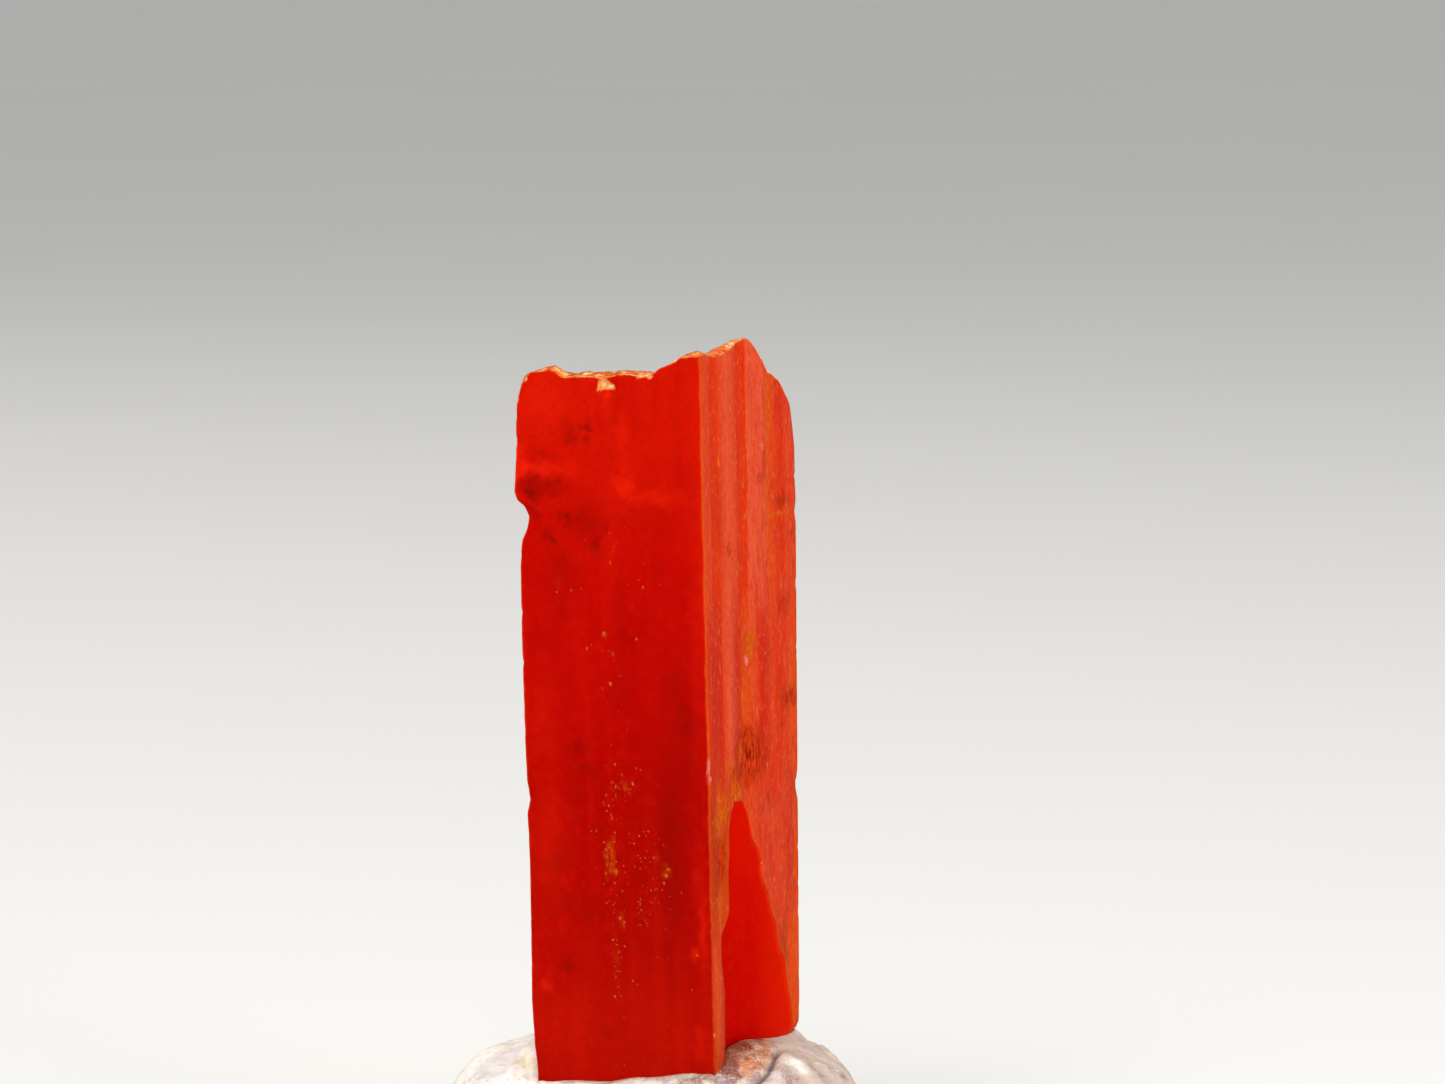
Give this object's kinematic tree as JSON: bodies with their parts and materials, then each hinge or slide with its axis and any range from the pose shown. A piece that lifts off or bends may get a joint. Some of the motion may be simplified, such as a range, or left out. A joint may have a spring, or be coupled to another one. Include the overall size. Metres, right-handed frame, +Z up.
{
  "type": "crocoite crystal",
  "caption": "Upright prismatic crocoite crystal with broken ends, striated faces and a split-off plate, held in a pat of mounting putty.",
  "frame": {"origin": "middle of the putty's flat base", "axes": "+Z up along the crystal; -Y towards the viewer of the front face; +X to that viewer's right"},
  "size_m": [0.0116, 0.0114, 0.0231],
  "materials": {
    "crocoite": "adamantine red-orange crystal faces, duller orange where broken",
    "putty": "kneaded grey-white mineral tack, soft satin, with folds and grit"
  },
  "bodies": {
    "root": {"crystal": "crocoite", "mounting_putty": "putty"}
  },
  "joints": []
}
